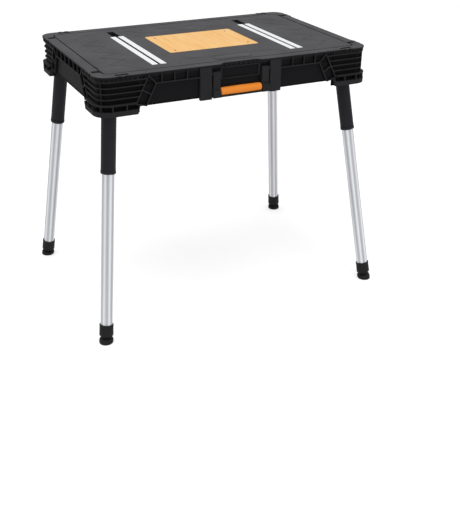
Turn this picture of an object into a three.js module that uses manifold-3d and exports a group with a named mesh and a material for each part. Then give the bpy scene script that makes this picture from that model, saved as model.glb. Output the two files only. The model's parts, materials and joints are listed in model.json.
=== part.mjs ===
// A folding workbench: a moulded deck with two clamp tracks and a plywood work board, a ribbed
// frame under it, four splayed legs that fold flat into the frame, and a carrying handle.
// Millimetres. X runs along the bench, Y to the back, Z up; the floor is Z = 0 under the middle.

import * as THREE from 'three';
import { mergeVertices } from 'three/addons/utils/BufferGeometryUtils.js';
import Module from 'manifold-3d';

const wasm = await Module();
wasm.setup();

// Overall sizes
const benchLength = 852;
const benchDepth = 553;
const benchHeight = 780;
const seatGap = 0.3;

// Deck
const deckThickness = 12;
const deckRim = 5;
const deckRebate = 8;
const deckWaist = 2.5;
const waistFromEnd = 91;
const deckCorner = 38;
const borderInset = 31;
const borderWidth = 4;
const borderDepth = 2.5;
const borderCorner = 16;
const notchMouth = 137;
const notchFloor = 105;
const notchDepth = 14;
const pocketLength = 38;
const pocketWidth = 11;
const pocketDepth = 5;
const pocketEdge = 9;
const longPocketFromEnd = 56;
const endPocketReach = 21;
const endPocketWidth = 15;
const endPocketFromSide = 60;

// Clamp tracks and the slots that the clamps drop into
const trackCentre = 219;
const trackWidth = 42.5;
const trackHeight = 18;
const trackGap = 7.5;
const trackLip = 4;
const trackChannelWidth = 28;
const trackChannelDepth = 8;
const trackFlange = 6;
const trackFront = -203.5;
const trackBack = 145.5;
const dropSlotWidth = 23;
const dropSlotLength = 67;

// Work board
const boardLength = 289;
const boardDepth = 209;
const boardThickness = 9;
const boardCorner = 8;
const boardScrewInset = 25;
const boardPilotBore = 5;

// Screws
const screwHeadDiameter = 8.4;
const screwHeadHeight = 2.6;
const screwShank = 4;
const screwClearance = 0.6;
const boardScrewLength = 11;
const underScrewLength = 15;

// Frame walls
const wallRecess = 11.5;
const wallThickness = 4;
const wallDrop = 92;
const rimInset = 3.3;
const cellDrop = 30;
const cellFloor = 3;
const cellRib = 3;
const cellPitch = 43;

// Corner blocks with their louvres
const blockLength = 120;
const blockDepth = 110;
const blockDrop = 108;
const blockFlare = 8;
const blockEndSlope = 9;
const blockLongWall = 9.2;
const blockEndWall = 9.7;
const louvreCount = 5;
const louvrePitch = 15.5;
const louvreRib = 3;
const louvreDepth = 6;
const louvreFirstDrop = 16;
const blockCellHeight = 18;
const blockCellPitch = 42;

// Slanted struts between the corner blocks and the walls
const strutTopPastBlock = 27;
const strutFootLap = 14;
const strutWidth = 37;
const strutFootDrop = 84;
const strutBar = 3.5;
const strutTopSlant = 26.5;
const strutFootSlant = 8;
const strutWindows = 2;

// Beams under the deck
const beamFromLane = 78;
const beamThickness = 5;
const beamDrop = 55;
const beamGap = 1.3;
const crossBeamOffset = 150;
const lugSize = 20;
const lugHeight = 10;
const lugOffset = 300;

// Carrying handle
const postInner = 92;
const postWidth = 36;
const postDrop = 98;
const handlePanelClearance = 1;
const handlePanelThickness = 4.5;
const handlePanelLap = 12;
const handlePivotDrop = 27;
const handlePivotInset = 8;
const handleReach = 52;
const handleArmWidth = 22;
const handleArmThickness = 12;
const handleArmGap = 4;
const handleRodDiameter = 12;
const gripDiameter = 23;
const handlePinDiameter = 6;
const handlePinSeat = 20;

// Legs: places of the hinges and feet
const hingeDrop = 60;
const laneMargin = 5;
const laneGap = 3;
const outerHingeMargin = 12;
const innerHingeMargin = 8;
const footBeyondEnd = 34;
const footBeyondSide = 39.5;

// Legs: sections
const tubeDiameter = 35;
const tubeWall = 2;
const sleeveWall = 3.2;
const sleeveLength = 204;
const sleeveShoulder = 34;
const neckDiameter = 27;
const neckLength = 22;
const socketDepth = 70;
const collarLip = 1.5;
const collarLength = 10;
const footWall = 3.2;
const footHeight = 60;
const footSocketDepth = 34;
const footNeckDiameter = 30;
const footNeckTop = 40;
const footNeckHeight = 6;

// Leg hinges
const knuckleDiameter = 32;
const knuckleLength = 34;
const hingePinDiameter = 10;
const hingePinOverhang = 2.7;
const cheekThickness = 4.5;
const cheekRadius = 18;
const bracketPlate = 5;
const bracketToe = 30;
const stopGap = 1.9;
const stopThickness = 6;

// Leg latches
const plungerDiameter = 7;
const plungerClearance = 0.5;
const plungerFlange = 10;
const plungerFlangeLength = 3;
const plungerHead = 18;
const plungerHeadLength = 8;
const earOffset = 38;
const earThickness = 4;
const earWidth = 20;
const earDrop = 9;

// Clips that hold the folded legs
const clipFromMiddle = 165;
const clipLength = 28;
const clipWall = 4;
const clipClearance = 0.8;
const clipReach = 8;

// Roundness
const roundSides = 20;
const pinSides = 8;
const boreSides = 12;
const arcSteps = 4;
const past = 2;

// Levels and diameters worked out from the sizes above
const deckUnder = benchHeight - deckThickness;
const frameTop = deckUnder - seatGap;
const beamTop = deckUnder - beamGap;
const rimUnder = benchHeight - deckRim;
const rimSeat = rimUnder - seatGap;
const hingeLevel = benchHeight - hingeDrop;
const halfLength = benchLength / 2;
const halfDepth = benchDepth / 2;
const trackBottom = benchHeight - trackHeight;
const sleeveDiameter = tubeDiameter + 2 * (seatGap + sleeveWall);
const collarDiameter = sleeveDiameter + 2 * collarLip;
const footDiameter = tubeDiameter + 2 * (seatGap + footWall);
const plungerOffset = (hingePinDiameter + plungerFlange) / 2 + plungerClearance;

function finish(color, roughness, metalness) {
  return new THREE.MeshStandardMaterial({ color, roughness, metalness });
}

const deckPlastic = finish(0x5a5a5e, 0.6, 0);
const framePlastic = finish(0x1d1d20, 0.55, 0);
const aluminium = finish(0xd4d6d8, 0.35, 0.9);
const plywood = finish(0xe2b67c, 0.7, 0);
const orangePlastic = finish(0xf28a2e, 0.5, 0);
const rubber = finish(0x1c1c1c, 0.85, 0);
const zincSteel = finish(0x9a9ca0, 0.4, 0.9);

// A closed geometry as a solid, with its shared corners merged and flat slivers dropped.
function solid(geometry) {
  const bare = geometry.clone();
  bare.deleteAttribute('normal');
  bare.deleteAttribute('uv');
  const merged = mergeVertices(bare, 1e-4);
  const corners = [];
  for (let i = 0; i < merged.index.count; i += 3) {
    const [a, b, c] = [0, 1, 2].map((k) => merged.index.getX(i + k));
    if (a !== b && b !== c && a !== c) {
      corners.push(a, b, c);
    }
  }
  const mesh = new wasm.Mesh({
    numProp: 3,
    vertProperties: new Float32Array(merged.attributes.position.array),
    triVerts: new Uint32Array(corners),
  });
  return new wasm.Manifold(mesh);
}

const join = (solids) => solids.reduce((sum, next) => sum.add(next));
const cut = (body, tools) => tools.reduce((left, tool) => left.subtract(tool), body);

// The finished piece: a named mesh with its own finish.
function piece(name, body, material) {
  const result = body.getMesh();
  const geometry = new THREE.BufferGeometry();
  geometry.setAttribute('position', new THREE.BufferAttribute(result.vertProperties, 3));
  geometry.setIndex(new THREE.BufferAttribute(result.triVerts, 1));
  geometry.computeVertexNormals();
  const mesh = new THREE.Mesh(geometry, material);
  mesh.name = name;
  return mesh;
}

// A box between two corners, given in any order along each axis.
function block([x0, x1], [y0, y1], [z0, z1]) {
  const geometry = new THREE.BoxGeometry(Math.abs(x1 - x0), Math.abs(y1 - y0), Math.abs(z1 - z0));
  geometry.translate((x0 + x1) / 2, (y0 + y1) / 2, (z0 + z1) / 2);
  return solid(geometry);
}

// A round bar along an axis from one distance to another, measured from a point on it.
function bar(diameter, from, to, place = {}) {
  const { axis = new THREE.Vector3(0, 0, 1), at = [0, 0, 0], sides = roundSides } = place;
  const geometry = new THREE.CylinderGeometry(diameter / 2, diameter / 2, Math.abs(to - from), sides);
  geometry.translate(0, (from + to) / 2, 0);
  geometry.applyQuaternion(new THREE.Quaternion().setFromUnitVectors(new THREE.Vector3(0, 1, 0), axis));
  geometry.translate(...at);
  return solid(geometry);
}

// A turned piece about Z from its outline of [radius, height] points, which ends on the axis.
function turned(outline, sides = roundSides) {
  const points = outline.map(([radius, height]) => new THREE.Vector2(radius, height));
  return solid(new THREE.LatheGeometry(points, sides).rotateX(Math.PI / 2));
}

function roundedRect(length, depth, radius) {
  const [x, y] = [length / 2 - radius, depth / 2 - radius];
  const shape = new THREE.Shape();
  shape.absarc(x, y, radius, 0, Math.PI / 2);
  shape.absarc(-x, y, radius, Math.PI / 2, Math.PI);
  shape.absarc(-x, -y, radius, Math.PI, 1.5 * Math.PI);
  shape.absarc(x, -y, radius, 1.5 * Math.PI, 2 * Math.PI);
  return shape;
}

function polygon(points) {
  return new THREE.Shape(points.map(([x, y]) => new THREE.Vector2(x, y)));
}

function slab(shape, bottom, top, steps = arcSteps) {
  const geometry = new THREE.ExtrudeGeometry(shape, {
    depth: top - bottom,
    bevelEnabled: false,
    curveSegments: steps,
  });
  return solid(geometry.translate(0, 0, bottom));
}

// A slab of an outline drawn in X and Z, standing up between two places along Y.
function standing(shape, front, back, steps = arcSteps) {
  const geometry = new THREE.ExtrudeGeometry(shape, {
    depth: back - front,
    bevelEnabled: false,
    curveSegments: steps,
  });
  return solid(geometry.rotateX(Math.PI / 2).translate(0, back, 0));
}

// The same for an outline drawn in Y and Z, standing up between two places along X.
function standingAcross(shape, from, to) {
  const geometry = new THREE.ExtrudeGeometry(shape, { depth: to - from, bevelEnabled: false });
  return solid(geometry.rotateX(Math.PI / 2).rotateZ(Math.PI / 2).translate(from, 0, 0));
}

// The bench's outline drawn in by an amount along its length and depth, as a slab.
function outlineSlab(insetLength, insetDepth, bottom, top) {
  const radius = Math.max(deckCorner - Math.max(insetLength, insetDepth), past);
  const shape = roundedRect(benchLength - 2 * insetLength, benchDepth - 2 * insetDepth, radius);
  return slab(shape, bottom, top);
}

// Even places between two ends, both left out, no further apart than a pitch.
function spread(from, to, pitch) {
  const bays = Math.max(1, Math.ceil((to - from) / pitch));
  return Array.from({ length: bays - 1 }, (_, i) => from + ((i + 1) * (to - from)) / bays);
}

const sides = [-1, 1];
const corners = sides.flatMap((sx) => sides.map((sy) => [sx, sy]));

// A screw that points up, its head's underside at the origin.
function screw(length) {
  return turned([
    [0, -screwHeadHeight],
    [screwHeadDiameter / 2, -screwHeadHeight],
    [screwHeadDiameter / 2, 0],
    [screwShank / 2, 0],
    [screwShank / 2, length],
    [0, length],
  ], pinSides);
}

const screwHole = (x, y, bottom, top) => bar(screwShank + screwClearance, bottom, top, {
  at: [x, y, 0],
  sides: pinSides,
});

// The two leg layouts of the front side. The leg at the left folds along the outer lane and the leg
// at the right along the inner lane; the back side is the front turned half round.
const footEnd = halfLength + footBeyondEnd;
const footSide = halfDepth + footBeyondSide;
const outerLane = halfDepth - wallRecess - wallThickness - sleeveDiameter / 2 - laneMargin;
const innerLane = outerLane - sleeveDiameter - laneGap;
const hingeEnd = halfLength - rimInset - blockEndWall - sleeveDiameter / 2;
const beamOffset = innerLane - beamFromLane;
const layouts = [
  { end: -1, hingeX: hingeEnd - outerHingeMargin, lane: outerLane, names: ['front_left', 'back_right'] },
  { end: 1, hingeX: hingeEnd - innerHingeMargin, lane: innerLane, names: ['front_right', 'back_left'] },
].map((layout) => {
  const hinge = new THREE.Vector3(layout.end * layout.hingeX, -layout.lane, hingeLevel);
  const foot = new THREE.Vector3(layout.end * footEnd, -footSide, 0);
  const along = foot.clone().sub(hinge).normalize();
  // The hinge is level and turned in plan so that the splayed leg folds to lie along X.
  const axis = new THREE.Vector3(-layout.end * along.y, 1 + layout.end * along.x, 0).normalize();
  const turn = Math.atan2(-axis.x, axis.y);
  return { ...layout, hinge, along, axis, turn, length: foot.distanceTo(hinge) };
});

// Screw places of a hinge bracket, in the bracket's own frame
const cheekInner = knuckleLength / 2 + seatGap;
const cheekOuter = cheekInner + cheekThickness;
const bracketScrewX = bracketToe - screwHeadDiameter;
const bracketScrewPlaces = [-cheekInner / 2, earOffset - screwHeadDiameter];

// Places on the bench of the screws that hold the brackets up
function bracketScrews(layout, half) {
  const { hinge, turn, end } = layout;
  const onFront = new THREE.Matrix4().makeRotationZ(turn).setPosition(hinge.x, hinge.y, 0);
  const place = new THREE.Matrix4().makeRotationZ(half * Math.PI).multiply(onFront);
  return bracketScrewPlaces.map((y) => new THREE.Vector3(-end * bracketScrewX, y, 0).applyMatrix4(place));
}

const lugPlaces = corners.map(([sx, sy]) => [sx * lugOffset, sy * (beamOffset - lugSize / 2)]);
const boardScrewPlaces = corners.map(([sx, sy]) => [
  sx * (boardLength / 2 - boardScrewInset),
  sy * (boardDepth / 2 - boardScrewInset),
]);

// Deck: a moulded plate with a grooved border, corner pockets, the board's seat and the track slots.
function deck() {
  const plate = outlineSlab(0, 0, rimUnder, benchHeight)
    .add(outlineSlab(deckRebate, deckRebate, deckUnder, rimUnder + deckRim / 2));
  const through = [deckUnder - past, benchHeight + past];
  const waists = sides.flatMap((side) => [
    block(
      [-halfLength + waistFromEnd, halfLength - waistFromEnd],
      [side * (halfDepth - deckWaist), side * (halfDepth + past)],
      through,
    ),
    block(
      [side * (halfLength - deckWaist), side * (halfLength + past)],
      [-halfDepth + waistFromEnd, halfDepth - waistFromEnd],
      through,
    ),
  ]);
  const grooveFloor = benchHeight - borderDepth;
  const borderShape = (inset) => roundedRect(
    benchLength - 2 * (borderInset + inset),
    benchDepth - 2 * (borderInset + inset),
    borderCorner - inset,
  );
  const borderGroove = slab(borderShape(0), grooveFloor, benchHeight + past)
    .subtract(slab(borderShape(borderWidth), grooveFloor - past, benchHeight + 2 * past));
  const handleNotch = slab(polygon([
    [-notchMouth / 2, -halfDepth - past],
    [notchMouth / 2, -halfDepth - past],
    [notchMouth / 2, -halfDepth],
    [notchFloor / 2, -halfDepth + notchDepth],
    [-notchFloor / 2, -halfDepth + notchDepth],
    [-notchMouth / 2, -halfDepth],
  ]), ...through);
  const boardSeat = slab(
    roundedRect(boardLength + 2 * seatGap, boardDepth + 2 * seatGap, boardCorner),
    benchHeight - boardThickness - seatGap,
    benchHeight + past,
    arcSteps - 1,
  );
  const trackSlots = sides.flatMap((side) => {
    const middle = side * trackCentre;
    const reach = trackWidth / 2 + seatGap;
    return [
      block([middle - reach, middle + reach], [trackFront - seatGap, trackBack + seatGap], through),
      block(
        [middle - dropSlotWidth / 2, middle + dropSlotWidth / 2],
        [trackBack, trackBack + dropSlotLength],
        through,
      ),
    ];
  });
  const pockets = corners.flatMap(([sx, sy]) => {
    const level = [benchHeight - pocketDepth, benchHeight + past];
    const longX = halfLength - longPocketFromEnd;
    const longY = halfDepth - pocketEdge;
    const endX = halfLength - pocketEdge;
    const endY = halfDepth - endPocketFromSide;
    return [
      block([sx * longX, sx * (longX - pocketLength)], [sy * longY, sy * (longY - pocketWidth)], level),
      block([sx * endX, sx * (endX - endPocketReach)], [sy * endY, sy * (endY - endPocketWidth)], level),
    ];
  });
  const blindTop = deckUnder + underScrewLength - bracketPlate;
  const underHoles = layouts.flatMap((layout) => [0, 1].flatMap((half) => bracketScrews(layout, half)))
    .map((spot) => screwHole(spot.x, spot.y, deckUnder - past, blindTop));
  const lugTop = beamTop - lugHeight + underScrewLength + seatGap;
  const lugHoles = lugPlaces.map(([x, y]) => screwHole(x, y, deckUnder - past, lugTop));
  const boardHoles = boardScrewPlaces.map(([x, y]) => screwHole(x, y, deckUnder - past, benchHeight));
  return cut(plate, [
    ...waists, borderGroove, handleNotch, boardSeat, ...trackSlots, ...pockets,
    ...underHoles, ...lugHoles, ...boardHoles,
  ]);
}

// Clamp track: an aluminium channel flush with the deck, open at the top along a narrow gap.
function clampTrack(side) {
  const half = trackWidth / 2;
  const foot = half + trackFlange;
  const [gap, room] = [trackGap / 2, trackChannelWidth / 2];
  const top = benchHeight;
  const flangeTop = deckUnder - seatGap;
  const roof = top - trackLip;
  const floor = roof - trackChannelDepth;
  const bottom = trackBottom;
  const outline = [
    [gap, top], [half, top], [half, flangeTop], [foot, flangeTop], [foot, bottom],
    [-foot, bottom], [-foot, flangeTop], [-half, flangeTop], [-half, top], [-gap, top],
    [-gap, roof], [-room, roof], [-room, floor], [room, floor], [room, roof], [gap, roof],
  ].map(([x, z]) => [x + side * trackCentre, z]);
  return standing(polygon(outline), trackFront, trackBack);
}

function workBoard() {
  const bottom = benchHeight - boardThickness;
  const sheet = slab(roundedRect(boardLength, boardDepth, boardCorner), bottom, benchHeight, arcSteps - 1);
  const pilot = bar(boardPilotBore, bottom - past, benchHeight + past, { sides: pinSides });
  const headFloor = benchHeight - screwHeadHeight - 2 * seatGap;
  const screwSeats = boardScrewPlaces.flatMap(([x, y]) => [
    screwHole(x, y, bottom - past, benchHeight),
    bar(screwHeadDiameter + screwClearance, headFloor, benchHeight + past, {
      at: [x, y, 0],
      sides: pinSides,
    }),
  ]);
  return cut(sheet, [pilot, ...screwSeats]);
}

// Frame: recessed walls with a row of cells under the deck's edge, four louvred corner blocks,
// slanted struts beside them, and beams across the underside.
function underFrame() {
  const wallBottom = benchHeight - wallDrop;
  const blockBottom = benchHeight - blockDrop;
  const cellLevel = benchHeight - cellDrop;
  const wallInner = wallRecess + wallThickness;
  const tall = [blockBottom - past, rimSeat + past];
  const longSpan = halfLength - blockLength;
  const endSpan = halfDepth - blockDepth;
  const cornerBox = (lap) => join(corners.map(([sx, sy]) => block(
    [sx * (longSpan + lap), sx * (halfLength + blockFlare)],
    [sy * (endSpan + lap), sy * (halfDepth + blockFlare)],
    tall,
  )));
  const hollow = outlineSlab(wallInner, wallInner, wallBottom - past, frameTop + past);
  const walls = outlineSlab(wallRecess, wallRecess, wallBottom, frameTop)
    .add(outlineSlab(rimInset, rimInset, cellLevel - cellFloor, cellLevel))
    .subtract(hollow)
    .subtract(cornerBox(past));

  const ribLevel = [cellLevel - cellFloor, rimSeat];
  const ribReach = [rimInset, wallRecess + past];
  const rowEnd = longSpan - strutTopPastBlock;
  const frontRibs = spread(postInner + postWidth, rowEnd, cellPitch).flatMap((x) => [-x, x]);
  const backRibs = spread(-rowEnd, rowEnd, cellPitch);
  const sideEnd = endSpan - strutTopPastBlock;
  const longRibs = [[-1, frontRibs], [1, backRibs]].flatMap(([sy, places]) => places.map((x) => block(
    [x - cellRib / 2, x + cellRib / 2],
    ribReach.map((inset) => sy * (halfDepth - inset)),
    ribLevel,
  )));
  const endRibs = sides.flatMap((sx) => spread(-sideEnd, sideEnd, cellPitch).map((y) => block(
    ribReach.map((inset) => sx * (halfLength - inset)),
    [y - cellRib / 2, y + cellRib / 2],
    ribLevel,
  )));

  // Corner blocks: a skin round each corner, with louvre grooves and a row of cells cut into it. The
  // cells and the band under them stand proud of the louvres, and slope away at their ends.
  const cellTop = benchHeight - louvreFirstDrop - (louvreCount - 1) * louvrePitch - louvreRib / 2;
  const flareInset = rimInset - blockFlare;
  const skin = outlineSlab(rimInset, rimInset, blockBottom, rimSeat)
    .add(outlineSlab(flareInset, flareInset, blockBottom, cellTop + louvreRib))
    .subtract(outlineSlab(rimInset + blockEndWall, rimInset + blockLongWall, ...tall));
  const groove = (bottom, top) => outlineSlab(-blockFlare, -blockFlare, bottom, top)
    .subtract(outlineSlab(rimInset + louvreDepth, rimInset + louvreDepth, bottom - past, top + past));
  const louvreGrooves = Array.from({ length: louvreCount - 1 }, (_, i) => {
    const top = benchHeight - louvreFirstDrop - i * louvrePitch - louvreRib / 2;
    return groove(top - louvrePitch + louvreRib, top);
  });
  const blockCells = groove(cellTop - blockCellHeight + louvreRib, cellTop);
  const dividerLevel = [cellTop - blockCellHeight, cellTop + louvreRib / 2];
  const dividerReach = [flareInset, rimInset + louvreDepth + past / 2];
  const dividers = corners.flatMap(([sx, sy]) => [
    ...spread(longSpan, halfLength, blockCellPitch).map((x) => block(
      [sx * (x - cellRib / 2), sx * (x + cellRib / 2)],
      dividerReach.map((inset) => sy * (halfDepth - inset)),
      dividerLevel,
    )),
    ...spread(endSpan, halfDepth, blockCellPitch).map((y) => block(
      dividerReach.map((inset) => sx * (halfLength - inset)),
      [sy * (y - cellRib / 2), sy * (y + cellRib / 2)],
      dividerLevel,
    )),
  ]);
  const flareTop = cellTop + louvreRib;
  const slopesOf = (span, edge, stand) => corners.map(([turn, side]) => {
    const outline = (from, to) => polygon([
      [turn * (span + from), flareTop],
      [turn * (span + to), flareTop],
      [turn * (span + to + blockEndSlope), blockBottom],
      [turn * (span + from + blockEndSlope), blockBottom],
    ]);
    const between = (...insets) => insets.map((inset) => side * (edge - inset)).sort((a, b) => a - b);
    return {
      edge: stand(outline(0, cellRib), ...between(...dividerReach)),
      room: stand(outline(-blockEndSlope, 0), ...between(-blockFlare, rimInset + louvreDepth)),
    };
  });
  const slopes = [
    ...slopesOf(longSpan, halfDepth, standing),
    ...slopesOf(endSpan, halfLength, standingAcross),
  ];
  const blocks = cut(skin, [...louvreGrooves, blockCells, ...slopes.map((slope) => slope.room)])
    .intersect(cornerBox(0));

  // Struts: ladders that lean from the deck's edge down to the corner blocks, on all four sides.
  // The louvres run on past each block to the near rail of its ladder.
  const strutHigh = rimSeat;
  const strutLow = benchHeight - strutFootDrop;
  const strutTall = strutHigh - strutLow;
  const barShare = strutBar / strutTall;
  const windowPitch = (1 - barShare) / strutWindows;
  const louvreLevels = Array.from({ length: louvreCount }, (_, i) => (
    benchHeight - louvreFirstDrop - i * louvrePitch
  ));
  const strutsOf = (span, edge, stand) => corners.map(([turn, side]) => {
    const strutTop = span - strutTopPastBlock;
    const strutFoot = span + strutFootLap;
    const lean = (z) => strutTop + ((strutFoot - strutTop) * (strutHigh - z)) / strutTall;
    const spot = (across, down) => {
      const slant = strutTopSlant + (strutFootSlant - strutTopSlant) * down;
      const z = strutHigh - down * strutTall - (slant * across) / strutWidth;
      return [turn * (lean(z) - across), z];
    };
    const patch = (near, far, top, low) => polygon([
      spot(near, top),
      spot(near, low),
      spot(far, low),
      spot(far, top),
    ]);
    const between = (...insets) => insets.map((inset) => side * (edge - inset)).sort((a, b) => a - b);
    const windows = Array.from({ length: strutWindows }, (_, i) => {
      const top = barShare + i * windowPitch;
      return patch(strutBar, strutWidth - strutBar, top, top + windowPitch - barShare);
    });
    const band = stand(patch(0, strutWidth, 0, 1), ...between(rimInset, wallRecess + past));
    const blockEnd = span + past;
    const links = louvreLevels.filter((z) => lean(z) < blockEnd - past).map((z) => stand(polygon([
      [turn * (lean(z) - strutBar / 2), z - louvreRib / 2],
      [turn * blockEnd, z - louvreRib / 2],
      [turn * blockEnd, z + louvreRib / 2],
      [turn * (lean(z) - strutBar / 2), z + louvreRib / 2],
    ]), ...between(rimInset, wallRecess + past)));
    return {
      ladder: cut(band, windows.map((window) => stand(window, ...between(-past, wallRecess)))),
      room: stand(patch(0, strutWidth, 0, 1), ...between(-blockFlare, rimInset + louvreDepth)),
      links,
    };
  });
  const struts = [
    ...strutsOf(longSpan, halfDepth, standing),
    ...strutsOf(endSpan, halfLength, standingAcross),
  ];

  // Beams under the tracks, cross beams, and lugs for the screws that draw the deck onto its seat.
  const beamBottom = benchHeight - beamDrop;
  const beamReach = halfLength - wallInner + past;
  const beams = sides.map((sy) => block(
    [-beamReach, beamReach],
    [sy * (beamOffset - beamThickness / 2), sy * (beamOffset + beamThickness / 2)],
    [beamBottom, trackBottom - seatGap],
  ));
  const crossBeams = [-crossBeamOffset, 0, crossBeamOffset].map((x) => block(
    [x - beamThickness / 2, x + beamThickness / 2],
    [-beamOffset, beamOffset],
    [beamBottom, beamTop],
  ));
  const lugs = lugPlaces.map(([x, y]) => block(
    [x - lugSize / 2, x + lugSize / 2],
    [y - lugSize / 2, y + lugSize / 2],
    [beamTop - lugHeight, beamTop],
  ).subtract(screwHole(x, y, beamTop - lugHeight - past, beamTop + past)));

  // The handle's bay in the front wall, closed behind the handle by a panel that ends at the grip.
  const bayHalf = postInner + postWidth + seatGap;
  const bay = block(
    [-bayHalf, bayHalf],
    [-halfDepth - past, -halfDepth + wallInner + past],
    [wallBottom - past, rimSeat + past],
  );
  const panelFront = -halfDepth + wallInner - past / 2;
  const gripRoom = gripDiameter / 2 + handlePanelClearance;
  const gripDepth = panelFront - handleAxis.y;
  const panelBottom = handleRodLevel + Math.sqrt(Math.max(gripRoom ** 2 - gripDepth ** 2, 0));
  const panel = block(
    [-bayHalf - handlePanelLap, bayHalf + handlePanelLap],
    [panelFront, panelFront + handlePanelThickness],
    [panelBottom, frameTop],
  );
  const deckRoom = outlineSlab(deckRebate - seatGap, deckRebate - seatGap, frameTop, rimSeat + past);
  const shell = cut(
    join([walls, ...longRibs, ...endRibs, blocks, ...dividers, ...slopes.map((slope) => slope.edge)]),
    struts.map((strut) => strut.room),
  );
  const ladders = struts.flatMap((strut) => [strut.ladder, ...strut.links]);
  const sided = join([shell, ...ladders]).subtract(deckRoom);
  return join([sided.subtract(bay), panel, ...beams, ...crossBeams, ...lugs]);
}

// Handle: two posts carry the pins that the bail swings on, and the grip turns on the bail's rod.
const handleAxis = { y: -halfDepth + handlePivotInset, z: benchHeight - handlePivotDrop };
const handleRodLevel = handleAxis.z - handleReach;
const armOuter = postInner - handleArmGap;
const armInner = armOuter - handleArmWidth;
const alongX = new THREE.Vector3(1, 0, 0);
const pinBore = handlePinDiameter + 2 * seatGap;

function handlePost(side) {
  const back = -halfDepth + wallRecess + wallThickness - past / 2 - seatGap;
  const front = -halfDepth + deckWaist + seatGap;
  const width = [side * postInner, side * (postInner + postWidth)];
  const lip = block(width, [front, -halfDepth + deckRebate - seatGap], [frameTop - past, rimSeat]);
  const body = block(width, [front, back], [benchHeight - postDrop, frameTop]).add(lip);
  const seat = [side * (postInner - past), side * (postInner + handlePinSeat)].sort((a, b) => a - b);
  return body.subtract(bar(pinBore, ...seat, {
    axis: alongX,
    at: [0, handleAxis.y, handleAxis.z],
    sides: pinSides,
  }));
}

function handlePin(side) {
  const reach = [armInner + seatGap, postInner + handlePinSeat - seatGap];
  const ends = reach.map((x) => side * x).sort((a, b) => a - b);
  return bar(handlePinDiameter, ...ends, {
    axis: alongX,
    at: [0, handleAxis.y, handleAxis.z],
    sides: pinSides,
  });
}

function handleBail() {
  const round = handleArmWidth / 2;
  const low = handleRodLevel - gripDiameter / 2;
  const high = handleAxis.z + handleArmThickness / 2;
  const arms = sides.map((side) => {
    const middle = (side * (armInner + armOuter)) / 2;
    const face = new THREE.Shape();
    face.moveTo(middle + round, high);
    face.lineTo(middle - round, high);
    face.absarc(middle, low + round, round, Math.PI, 2 * Math.PI);
    const front = handleAxis.y - handleArmThickness / 2;
    const flat = standing(face, front, front + handleArmThickness, 2 * arcSteps);
    const eye = bar(handleArmThickness, middle - round, middle + round, {
      axis: alongX,
      at: [0, handleAxis.y, handleAxis.z],
      sides: boreSides,
    });
    const above = block(
      [middle - round - past, middle + round + past],
      [front - past, front + handleArmThickness + past],
      [handleAxis.z, high + past],
    );
    return flat.subtract(above).add(eye);
  });
  const rod = bar(handleRodDiameter, -armInner - past, armInner + past, {
    axis: alongX,
    at: [0, handleAxis.y, handleRodLevel],
  });
  const bores = bar(pinBore, -armOuter - past, armOuter + past, {
    axis: alongX,
    at: [0, handleAxis.y, handleAxis.z],
    sides: pinSides,
  });
  return join([...arms, rod]).subtract(bores);
}

function handleGrip() {
  const half = armInner - 2 * seatGap;
  const place = { axis: alongX, at: [0, handleAxis.y, handleRodLevel] };
  return bar(gripDiameter, -half, half, place)
    .subtract(bar(handleRodDiameter + 2 * seatGap, -half - past, half + past, place));
}

// Leg pieces, each about the hinge point with the leg hanging along -Z. The hinge axis leans a
// little from Y there, because the leg is splayed.
function legSleeve(axis) {
  const knuckle = bar(knuckleDiameter, -knuckleLength / 2, knuckleLength / 2, { axis });
  const shaft = turned([
    [0, -sleeveLength],
    [sleeveDiameter / 2, -sleeveLength],
    [sleeveDiameter / 2, -sleeveShoulder],
    [neckDiameter / 2, -neckLength],
    [neckDiameter / 2, 0],
    [0, 0],
  ]);
  const socket = bar(tubeDiameter + 2 * seatGap, -sleeveLength - past, -sleeveLength + socketDepth);
  const pinHole = bar(hingePinDiameter + 2 * seatGap, -knuckleLength, knuckleLength, {
    axis,
    sides: boreSides,
  });
  return cut(knuckle.add(shaft), [socket, pinHole]);
}

function lockingCollar() {
  const top = -sleeveLength - seatGap;
  return bar(collarDiameter, top - collarLength, top)
    .subtract(bar(tubeDiameter + 2 * seatGap, top - collarLength - past, top + past));
}

function legTube(length) {
  const top = -sleeveLength + socketDepth - seatGap;
  const bottom = -length + footHeight - footSocketDepth + seatGap;
  return bar(tubeDiameter, bottom, top)
    .subtract(bar(tubeDiameter - 2 * tubeWall, bottom - past, top + past));
}

// The foot is cut level with the floor, whose plane is given in the leg's frame.
function legFoot(length, floorPlane) {
  const top = -length + footHeight;
  const bore = tubeDiameter / 2 + seatGap;
  const radius = footDiameter / 2;
  const neckTop = top - footNeckTop;
  const neckBottom = neckTop - footNeckHeight;
  const body = turned([
    [0, -length - footDiameter],
    [radius, -length - footDiameter],
    [radius, neckBottom],
    [footNeckDiameter / 2, neckBottom],
    [footNeckDiameter / 2, neckTop],
    [radius, neckTop],
    [radius, top],
    [bore, top],
    [bore, top - footSocketDepth],
    [0, top - footSocketDepth],
  ]);
  return body.subtract(floorPlane);
}

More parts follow.
